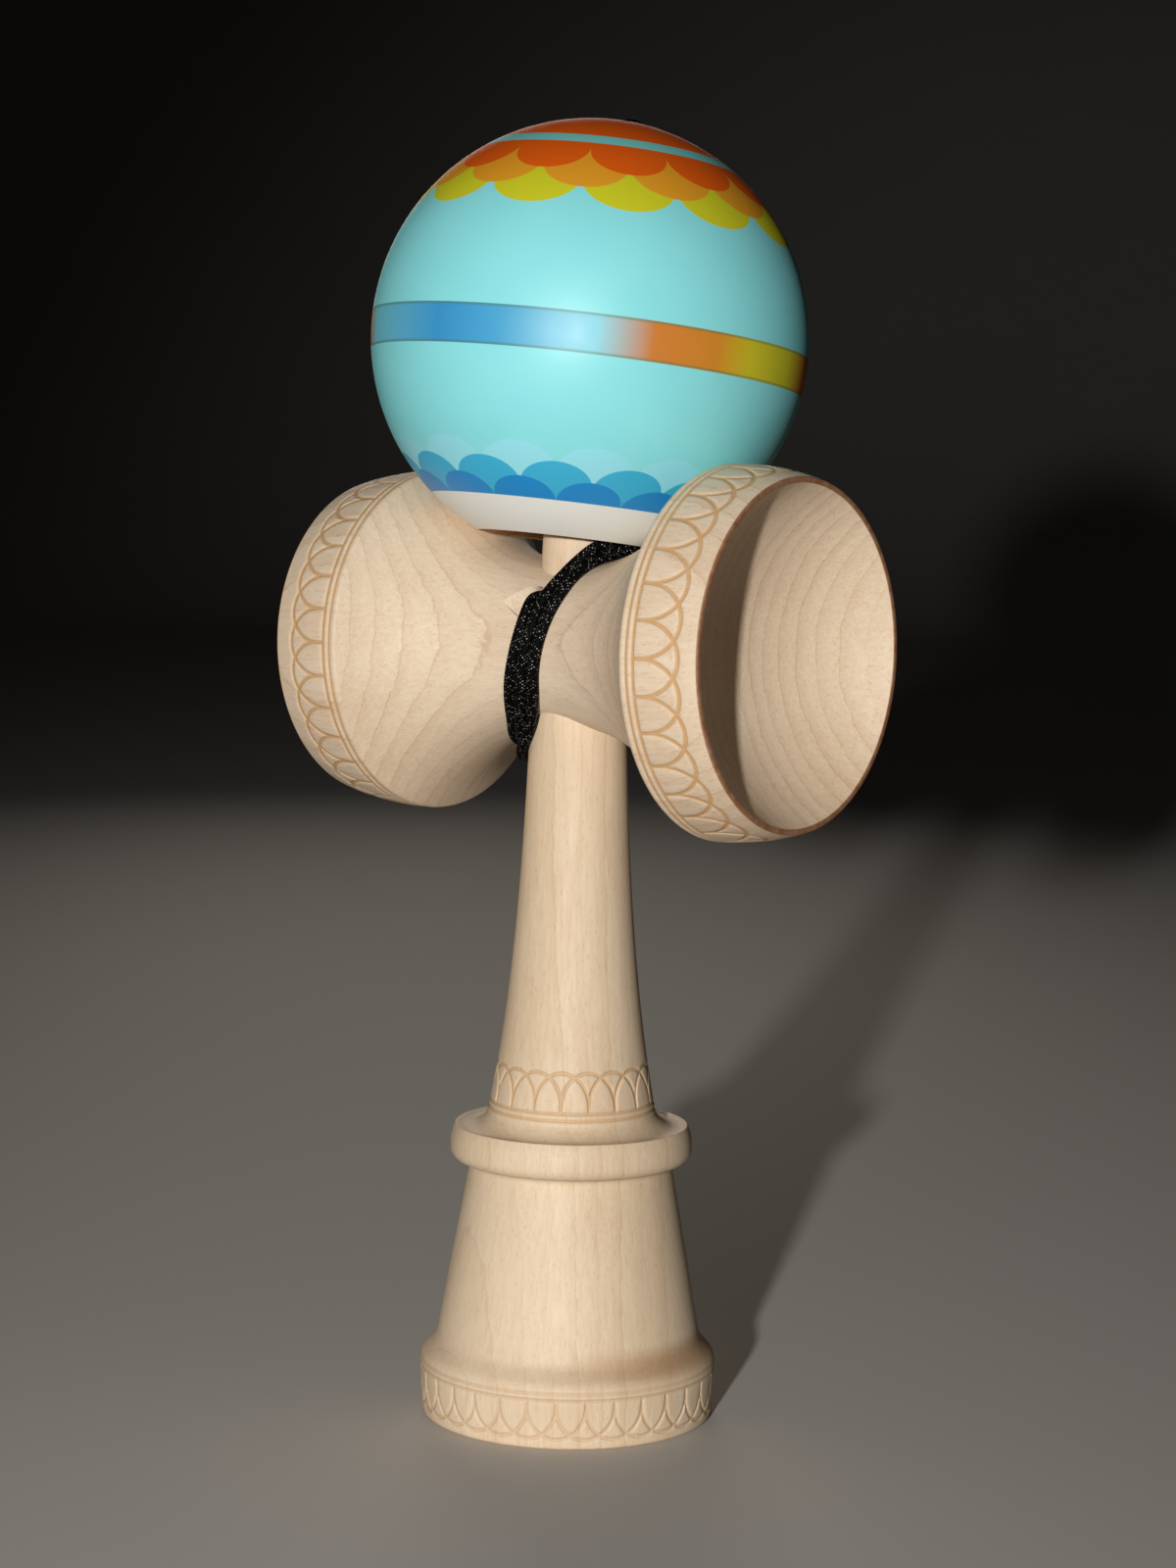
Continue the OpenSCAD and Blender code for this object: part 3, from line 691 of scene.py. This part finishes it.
def srgb(r, g, b):
    """Linear colour of a colour given in eight-bit display values."""
    c = np.array([r, g, b]) / 255
    c = np.where(c <= 0.04045, c / 12.92, ((c + 0.055) / 1.055) ** 2.4)
    return (*map(float, c), 1.0)


class Graph:
    """Short ways to place and join nodes of one tree. Any input takes a number, a tuple or a socket."""

    def __init__(self, tree):
        self.tree = tree

    def node(self, kind, inputs=None, **settings):
        made = self.tree.nodes.new(kind)
        for name, value in settings.items():
            setattr(made, name, value)
        for name, value in (inputs or {}).items():
            if isinstance(value, bpy.types.NodeSocket):
                self.tree.links.new(value, made.inputs[name])
            else:
                made.inputs[name].default_value = value
        return made

    def math(self, operation, *values):
        return self.node("ShaderNodeMath", dict(enumerate(values)), operation=operation).outputs[0]

    def vector(self, operation, *values):
        made = self.node("ShaderNodeVectorMath", dict(enumerate(values)), operation=operation)
        return made.outputs["Value" if operation in ("LENGTH", "DOT_PRODUCT") else "Vector"]

    def mix(self, factor, a, b):
        made = self.node("ShaderNodeMix", {0: factor, 6: a, 7: b}, data_type="RGBA")
        return made.outputs[2]

    def step(self, value, low, high, to_low=0.0, to_high=1.0):
        made = self.node("ShaderNodeMapRange", {0: value, 1: low, 2: high, 3: to_low, 4: to_high},
                         interpolation_type="SMOOTHSTEP")
        return made.outputs[0]

    def pattern(self):
        uv = self.node("ShaderNodeUVMap", uv_map="pattern").outputs[0]
        return self.node("ShaderNodeSeparateXYZ", {0: uv}).outputs

    def inverse(self, value):
        return self.math("SUBTRACT", 1.0, value)

    def noise(self, vector, scale, detail=2.0, roughness=0.5):
        return self.node("ShaderNodeTexNoise", {"Vector": vector, "Scale": scale, "Detail": detail,
                                                "Roughness": roughness})


def new_group(name, inputs, outputs):
    """Empty node group with named sockets; inputs give the socket's kind and default."""
    group = bpy.data.node_groups.new(name, "ShaderNodeTree")
    for label, kind, default in inputs:
        socket = group.interface.new_socket(label, in_out="INPUT", socket_type=kind)
        if default is not None:
            socket.default_value = default
    for label, kind in outputs:
        group.interface.new_socket(label, in_out="OUTPUT", socket_type=kind)
    graph = Graph(group)
    return group, graph, graph.node("NodeGroupInput").outputs, graph.node("NodeGroupOutput")


def maple_group():
    """Maple figure with the grain along X and the pith on the X axis.

    Growth rings are thin dark lines at even distances from the pith, bent by a slow noise; fine fibres
    and short flecks run along the grain, and a soft mottling lies over all.
    """
    group, g, given, out = new_group(
        "maple_figure",
        [("Vector", "NodeSocketVector", None), ("Ring Spacing", "NodeSocketFloat", 0.0035),
         ("Ring Strength", "NodeSocketFloat", 0.5), ("Fleck Strength", "NodeSocketFloat", 0.5),
         ("Pale", "NodeSocketColor", (0.7, 0.55, 0.38, 1)),
         ("Dark", "NodeSocketColor", (0.5, 0.32, 0.17, 1))],
        [("Color", "NodeSocketColor"), ("Roughness", "NodeSocketFloat"), ("Height", "NodeSocketFloat")])
    place = given["Vector"]
    slow = g.vector("MULTIPLY", place, (0.35, 1.0, 1.0))
    sway = g.vector("SUBTRACT", g.noise(slow, 30.0, 2.0).outputs["Color"], (0.5, 0.5, 0.5))
    wiggle = g.vector("SUBTRACT", g.noise(place, 330.0, 3.0, 0.6).outputs["Color"], (0.5, 0.5, 0.5))
    bent = g.vector("ADD", place, g.vector("MULTIPLY", sway, (0.0, 0.004, 0.004)))
    bent = g.vector("ADD", bent, g.vector("MULTIPLY", wiggle, (0.0, 0.0011, 0.0011)))
    across = g.vector("LENGTH", g.vector("MULTIPLY", bent, (0.06, 1.0, 1.0)))
    phase = g.math("DIVIDE", across, given["Ring Spacing"])
    ring = g.math("FRACT", phase)
    late = g.math("MULTIPLY", g.step(ring, 0.3, 0.95), g.step(ring, 1.0, 0.95))
    sharp = g.math("MULTIPLY", g.step(ring, 0.88, 0.95), g.step(ring, 1.0, 0.95))
    draw = g.node("ShaderNodeTexWhiteNoise", {"W": g.math("FLOOR", phase)}, noise_dimensions="1D")
    each = g.math("MULTIPLY_ADD", draw.outputs["Value"], 0.95, 0.1)
    strength = g.math("MULTIPLY", given["Ring Strength"], each)
    rings = g.math("MULTIPLY", strength, g.math("MULTIPLY_ADD", sharp, 0.6, g.math("MULTIPLY", late, 0.4)))
    fibre = g.noise(g.vector("MULTIPLY", place, (70.0, 1700.0, 1700.0)), 1.0, 3.0, 0.6).outputs[0]
    fleck = g.noise(g.vector("MULTIPLY", place, (800.0, 4600.0, 4600.0)), 1.0, 1.0).outputs[0]
    dash = g.math("MULTIPLY", g.step(fleck, 0.58, 0.72), given["Fleck Strength"])
    mottle = g.noise(g.vector("MULTIPLY", place, (26.0, 60.0, 60.0)), 1.0, 3.0).outputs[0]
    tone = g.math("MULTIPLY_ADD", g.math("SUBTRACT", fibre, 0.5), 0.6, rings)
    tone = g.math("ADD", tone, g.math("MULTIPLY_ADD", g.math("SUBTRACT", mottle, 0.5), 0.8, 0.22))
    tone = g.math("ADD", tone, g.math("MULTIPLY", dash, 0.4))
    tone = g.math("MINIMUM", g.math("MAXIMUM", tone, 0.0), 1.0)
    relief = g.math("SUBTRACT", g.math("MULTIPLY", fibre, 0.5), g.math("MULTIPLY", dash, 0.7))
    g.tree.links.new(g.mix(tone, given["Pale"], given["Dark"]), out.inputs["Color"])
    g.tree.links.new(g.math("MULTIPLY_ADD", fibre, 0.25, 0.44), out.inputs["Roughness"])
    g.tree.links.new(relief, out.inputs["Height"])
    return group


def engraving_group():
    """The engraved lines as a mask, by the same formula as the grooves in the mesh, and the burnt rims."""
    group, g, given, out = new_group("engraved_band", [("Vector", "NodeSocketVector", None)],
                                     [("Line", "NodeSocketFloat"), ("Rim", "NodeSocketFloat")])
    parts = g.node("ShaderNodeSeparateXYZ", {0: given["Vector"]}).outputs
    u, v = parts[0], parts[1]
    rail = g.math("MINIMUM", *(g.math("ABSOLUTE", g.math("SUBTRACT", v, at)) for at in RAILS))
    rise = g.math("MULTIPLY", g.math("MAXIMUM", g.math("SUBTRACT", v, ARCH_FOOT), 0.0), ARCH_SQUASH)
    arches = []
    for shift in (0.0, 0.5):
        x = g.math("SUBTRACT", g.math("FRACT", g.math("ADD", u, shift)), 0.5)
        far = g.math("SQRT", g.math("MULTIPLY_ADD", x, x, g.math("MULTIPLY", rise, rise)))
        arches.append(g.math("ABSOLUTE", g.math("SUBTRACT", far, 0.5)))
    off = g.math("MAXIMUM", g.math("LESS_THAN", v, RAILS[1]), g.math("GREATER_THAN", v, 1.0))
    arch = g.math("ADD", g.math("MINIMUM", *arches), off)
    near = g.math("MINIMUM", rail, arch)
    g.tree.links.new(g.step(near, LINE_HALF * 1.3, LINE_HALF * 0.6), out.inputs["Line"])
    g.tree.links.new(g.step(v, 2.35, 2.8), out.inputs["Rim"])
    return group


MAPLE = maple_group()
ENGRAVING = engraving_group()


def new_material(name):
    """Empty node material and its graph, with the surface shader in place."""
    material = bpy.data.materials.new(name)
    material.use_nodes = True
    material.node_tree.nodes.clear()
    g = Graph(material.node_tree)
    shader = g.node("ShaderNodeBsdfPrincipled")
    g.node("ShaderNodeOutputMaterial", {"Surface": shader.outputs[0]})
    return material, g, shader


def wood(name, turn, pith, spacing, rings, flecks, pale, dark, tints=None, stain_and_shade=False):
    """Sealed maple: the figure turned along the piece's grain, with engraved lines and burnt rims if asked.

    The tints are how strongly the engraved lines are browned, at the foot and from the collar up.
    A handle with the stain and shade patch is browned in a soft patch over its base, on the side away from
    the light: partly a real stain on the wood and partly painted shade.
    """
    material, g, shader = new_material(name)
    place = g.node("ShaderNodeTexCoord").outputs["Object"]
    turned = g.node("ShaderNodeMapping", {"Vector": place, "Location": pith, "Rotation": turn}).outputs[0]
    figure = g.node("ShaderNodeGroup", node_tree=MAPLE)
    for label, value in (("Ring Spacing", spacing), ("Ring Strength", rings), ("Fleck Strength", flecks),
                         ("Pale", pale), ("Dark", dark)):
        figure.inputs[label].default_value = value
    g.tree.links.new(turned, figure.inputs["Vector"])
    colour = figure.outputs["Color"]
    bump = g.node("ShaderNodeBump", {"Height": figure.outputs["Height"], "Strength": 0.35,
                                     "Distance": 0.00006})
    if tints:
        band = g.node("ShaderNodeGroup", node_tree=ENGRAVING)
        g.tree.links.new(g.node("ShaderNodeUVMap", uv_map="pattern").outputs[0], band.inputs[0])
        burn = g.noise(g.vector("MULTIPLY", place, (900.0, 900.0, 900.0)), 1.0, 2.0).outputs[0]
        height = g.node("ShaderNodeSeparateXYZ", {0: place}).outputs[2]
        uneven = g.math("MULTIPLY_ADD", burn, 0.5, 0.75)
        browned = g.math("MULTIPLY", g.step(height, 0.01, 0.04, *tints), uneven)
        line_mask = g.math("MULTIPLY", band.outputs["Line"], browned)
        colour = g.mix(line_mask, colour, srgb(201, 154, 100))
        if stain_and_shade:
            # Brown patch over the base, on the side away from the key light: partly a real stain, partly
            # painted shade
            side = g.vector("DOT_PRODUCT", place, (0.79, 0.61, 0.0))
            stain_and_shade_patch = g.math("MULTIPLY", g.step(height, 0.0075, 0.0102), g.step(height, 0.0135, 0.0108))
            stain_and_shade_patch = g.math("MULTIPLY", stain_and_shade_patch, g.step(side, -0.004, 0.015, 0.05, 0.6))
            colour = g.mix(stain_and_shade_patch, colour, srgb(164, 112, 64))
        rim_mask = g.math("MULTIPLY", band.outputs["Rim"], g.math("MULTIPLY_ADD", burn, 0.5, 0.65))
        colour = g.mix(rim_mask, colour, srgb(140, 90, 55))
        bump = g.node("ShaderNodeBump", {"Height": g.inverse(band.outputs["Line"]), "Strength": 0.6,
                                         "Distance": 0.0001, "Normal": bump.outputs[0]})
    g.tree.links.new(colour, shader.inputs["Base Color"])
    g.tree.links.new(figure.outputs["Roughness"], shader.inputs["Roughness"])
    g.tree.links.new(bump.outputs[0], shader.inputs["Normal"])
    shader.inputs["Specular IOR Level"].default_value = 0.35
    return material


def paint_material():
    """Satin paint with a printed design: scalloped rows over and under a ring of shifting colours."""
    material, g, shader = new_material("ball_paint")
    turn, level, _ = g.pattern()
    latitude = g.math("MULTIPLY", level, 90.0)
    place = g.node("ShaderNodeTexCoord").outputs["Object"]

    def scallop(count, shift):
        """Half circles side by side: the square root of 1 - x^2 across each."""
        x = g.math("MULTIPLY_ADD", g.math("FRACT", g.math("MULTIPLY_ADD", turn, count, shift)), 2.0, -1.0)
        return g.math("SQRT", g.math("MAXIMUM", g.inverse(g.math("MULTIPLY", x, x)), 0.0))

    def above(edge, soft=0.12):
        """One where the latitude in degrees is above an edge, nought below it."""
        return g.step(g.math("SUBTRACT", latitude, edge), -soft, soft)

    def between(low, high, soft=0.12):
        """One between two latitudes, nought outside them."""
        return g.math("MULTIPLY", above(low, soft), g.inverse(above(high, soft)))

    cloud = g.noise(place, 120.0, 3.0).outputs[0]
    colour = g.mix(cloud, srgb(134, 221, 224), srgb(146, 228, 229))

    # Rows of scallops that hang over the ring: latitude, arches and colour
    even, odd = scallop(12.0, 0.0), scallop(12.0, 0.5)
    hung_rows = ((38.5, even, (206, 204, 36)), (44.5, odd, (226, 154, 34)), (50.5, even, (225, 92, 8)))
    for base, arch, tint in hung_rows:
        edge = g.math("MULTIPLY_ADD", arch, -9.5, base)
        colour = g.mix(above(edge), colour, srgb(*tint))
    colour = g.mix(above(57.5), colour, srgb(222, 90, 6))
    colour = g.mix(between(53.3, 57.6), colour, srgb(120, 205, 200))

    # Rows of scallops that stand under it
    even, odd = scallop(14.0, 0.25), scallop(14.0, 0.75)
    standing_rows = ((-40.5, even, (152, 226, 236)), (-45.5, odd, (60, 178, 214)),
                     (-51.0, even, (28, 138, 204)))
    for base, arch, tint in standing_rows:
        edge = g.math("MULTIPLY_ADD", arch, 8.0, base)
        colour = g.mix(g.inverse(above(edge)), colour, srgb(*tint))
    colour = g.mix(g.inverse(above(-50.2)), colour, srgb(240, 240, 232))

    # The ring, with colours that shift twice round the ball, and its darker edges
    ramp = g.node("ShaderNodeValToRGB", {0: g.math("FRACT", g.math("MULTIPLY_ADD", turn, 2.0, 0.86))})
    stops = ((0.0, (214, 120, 40)), (0.1, (206, 130, 56)), (0.16, (122, 204, 214)),
             (0.34, (58, 150, 204)), (0.44, (70, 164, 208)), (0.58, (130, 208, 220)),
             (0.66, (206, 124, 48)), (0.76, (214, 138, 40)), (0.82, (210, 196, 40)),
             (0.92, (204, 200, 44)), (1.0, (214, 120, 40)))
    band = ramp.color_ramp
    while len(band.elements) < len(stops):
        band.elements.new(0.5)
    for element, (at, tint) in zip(band.elements, stops):
        element.position = at
        element.color = srgb(*tint)
    inside = between(-8.7, 1.3)
    colour = g.mix(inside, colour, ramp.outputs[0])
    rim = g.math("MULTIPLY", inside, g.inverse(between(-8.1, 0.7, 0.3)))
    colour = g.mix(g.math("MULTIPLY", rim, 0.55), colour, srgb(84, 120, 84))
    uneven = g.noise(place, 300.0, 2.0).outputs[0]
    g.tree.links.new(colour, shader.inputs["Base Color"])
    g.tree.links.new(g.math("MULTIPLY_ADD", uneven, 0.12, 0.4), shader.inputs["Roughness"])
    peel = g.noise(place, 900.0, 2.0).outputs[0]
    bump = g.node("ShaderNodeBump", {"Height": peel, "Strength": 0.12, "Distance": 0.00005})
    g.tree.links.new(bump.outputs[0], shader.inputs["Normal"])
    return material


def string_material():
    """Braided black string: the bumps of the braid catch light, and the tops of some of them are painted
    grey, partly as grey fibres and partly as a painted highlight.
    """
    material, g, shader = new_material("braided_string")
    turn, pitch, _ = g.pattern()
    place = g.node("ShaderNodeTexCoord").outputs["Object"]
    round_part = g.math("COSINE", g.math("MULTIPLY", turn, 2 * BRAID_BUMPS * np.pi))
    along_part = g.math("COSINE", g.math("MULTIPLY", pitch, 2 * np.pi))
    braid = g.math("MULTIPLY", g.math("ABSOLUTE", g.math("ADD", round_part, along_part)), 0.5)
    fibre = g.noise(place, 2100.0, 2.0).outputs[0]
    # Grey on the crests of the braid's bumps: partly grey fibres, partly a painted highlight where the
    # fibres catch light
    grey_fibre_and_highlight = g.math("MULTIPLY", g.step(braid, 0.7, 0.95), g.step(fibre, 0.5, 0.62))
    colour = g.mix(grey_fibre_and_highlight, srgb(4, 4, 4), srgb(186, 180, 172))
    g.tree.links.new(colour, shader.inputs["Base Color"])
    g.tree.links.new(g.math("MULTIPLY_ADD", fibre, 0.2, 0.55), shader.inputs["Roughness"])
    height = g.math("MULTIPLY_ADD", fibre, 0.3, braid)
    bump = g.node("ShaderNodeBump", {"Height": height, "Strength": 0.5, "Distance": 0.00006})
    g.tree.links.new(bump.outputs[0], shader.inputs["Normal"])
    shader.inputs["Specular IOR Level"].default_value = 0.06
    return material


ALONG_Z = (0, float(np.pi / 2), 0)
handle_wood = wood("handle_maple", ALONG_Z, (0.0, 0.049, -0.02), spacing=0.0034, rings=0.3, flecks=0.6,
                   pale=srgb(230, 207, 176), dark=srgb(194, 158, 118), tints=(0.3, 0.55), stain_and_shade=True)
cross_wood = wood("cross_maple", (0, 0, 0), (0.0, -0.2, -0.098), spacing=0.0025, rings=0.45, flecks=0.7,
                  pale=srgb(231, 210, 182), dark=srgb(192, 154, 118), tints=(0.85, 0.85))
bare_wood = wood("bare_ball_wood", ALONG_Z, (0.0, 0.02, 0.03), spacing=0.003, rings=0.5, flecks=0.5,
                 pale=srgb(206, 160, 106), dark=srgb(150, 98, 52))
bead_wood = wood("bead_wood", ALONG_Z, (0.0, 0.02, 0.03), spacing=0.002, rings=0.5, flecks=0.5,
                 pale=srgb(206, 160, 106), dark=srgb(150, 98, 52))
paint = paint_material()
black_string = string_material()


# Pieces put together

hidden_stretches = ((string_in_handle, "ken", "string_tail"), (string_in_ball, "bead", "string_end"),
                    (handle_knot, "ken", "anchor_knot"), (bead_knot, "bead", "end_knot"))
for stretch, body, node in hidden_stretches:
    finish_piece(stretch, body, [black_string], [node], 180)
finish_piece(string_bridge, None, [black_string], [], 180)
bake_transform(string_bridge)
finish_piece(string, None, [black_string], ["string_wraps", "string_run"], 180)
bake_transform(string)

handle = make_handle()
finish_piece(handle, "ken", [handle_wood], ["ken"])
cross_piece = make_cross_piece()
finish_piece(cross_piece, "sarado", [cross_wood], ["sarado"])
ball, bare_faces = make_ball()
finish_piece(ball, "tama", [paint, bare_wood], ["tama"])
ball.data.polygons.foreach_set("material_index", bare_faces)
ball.data.update()
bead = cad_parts["bead"]
bead.data.materials.clear()
bead.data.materials.append(bead_wood)


# Stage: pale round floor with a soft rise at its edge, and plain studio light

def make_floor():
    """Round floor: flat to 3 m, then a quarter circle up to a wall."""
    flat, rise, wall, thick = 3000, 1200, 2600, 10
    edge = flat + rise
    angle = np.linspace(0, np.pi / 2, 16)
    curve = np.stack([flat + rise * np.sin(angle), rise - rise * np.cos(angle)], -1)
    outline = np.concatenate([[[0, 0], [300, 0]], curve, [[edge, wall], [edge + thick, wall],
                                                          [edge + thick, -thick], [0, -thick]]])
    flip = outline[::-1]
    points = carried_round(flip[:, 1], flip[:, 0], np.zeros(3), X_WAY, UP, 96)
    floor = surface("studio_floor", points, 1.0, 0.0)
    material, g, shader = new_material("pale_floor")
    place = g.node("ShaderNodeTexCoord").outputs["Object"]
    soft = g.noise(place, 6.0, 2.0).outputs[0]
    g.tree.links.new(g.mix(soft, (0.55, 0.52, 0.48, 1), (0.59, 0.56, 0.52, 1)), shader.inputs["Base Color"])
    shader.inputs["Roughness"].default_value = 0.8
    floor.data.materials.append(material)
    floor.data.shade_smooth()


def add_light(name, kind, azimuth, elevation, distance, watts, **settings):
    """Light at an angle from -Y towards +X and above the floor, turned to the middle of the object."""
    a, e = np.radians(azimuth), np.radians(elevation)
    back = np.array([np.sin(a) * np.cos(e), -np.cos(a) * np.cos(e), np.sin(e)])
    right = unit(np.cross(UP, back))
    up = np.cross(back, right)
    middle = np.array([0.001, 0.001, 0.09])
    data = bpy.data.lights.new(name, kind)
    data.energy = watts
    for setting, value in settings.items():
        setattr(data, setting, value)
    light = bpy.data.objects.new(name, data)
    matrix = np.eye(4)
    matrix[:3] = np.stack([right, up, back, middle + back * distance], -1)
    light.matrix_world = Matrix(matrix.tolist())
    light.visible_camera = False
    bpy.context.scene.collection.objects.link(light)


make_floor()
add_light("key", "SPOT", azimuth=27, elevation=6, distance=0.8, watts=24.7, spot_size=np.radians(42),
          spot_blend=1.0, shadow_soft_size=0.013)
add_light("top", "AREA", azimuth=37, elevation=80, distance=1.5, watts=0.15, size=1.4)
add_light("back", "SPOT", azimuth=222, elevation=14, distance=1.2, watts=8.0, spot_size=np.radians(60),
          spot_blend=1.0, shadow_soft_size=0.25, color=(1.0, 0.9, 0.78))
world = bpy.data.worlds.new("studio")
world.use_nodes = True
background = world.node_tree.nodes["Background"]
background.inputs["Color"].default_value = (1.0, 0.94, 0.88, 1)
background.inputs["Strength"].default_value = 0.006
bpy.context.scene.world = world
bpy.context.scene.view_settings.view_transform = "Standard"
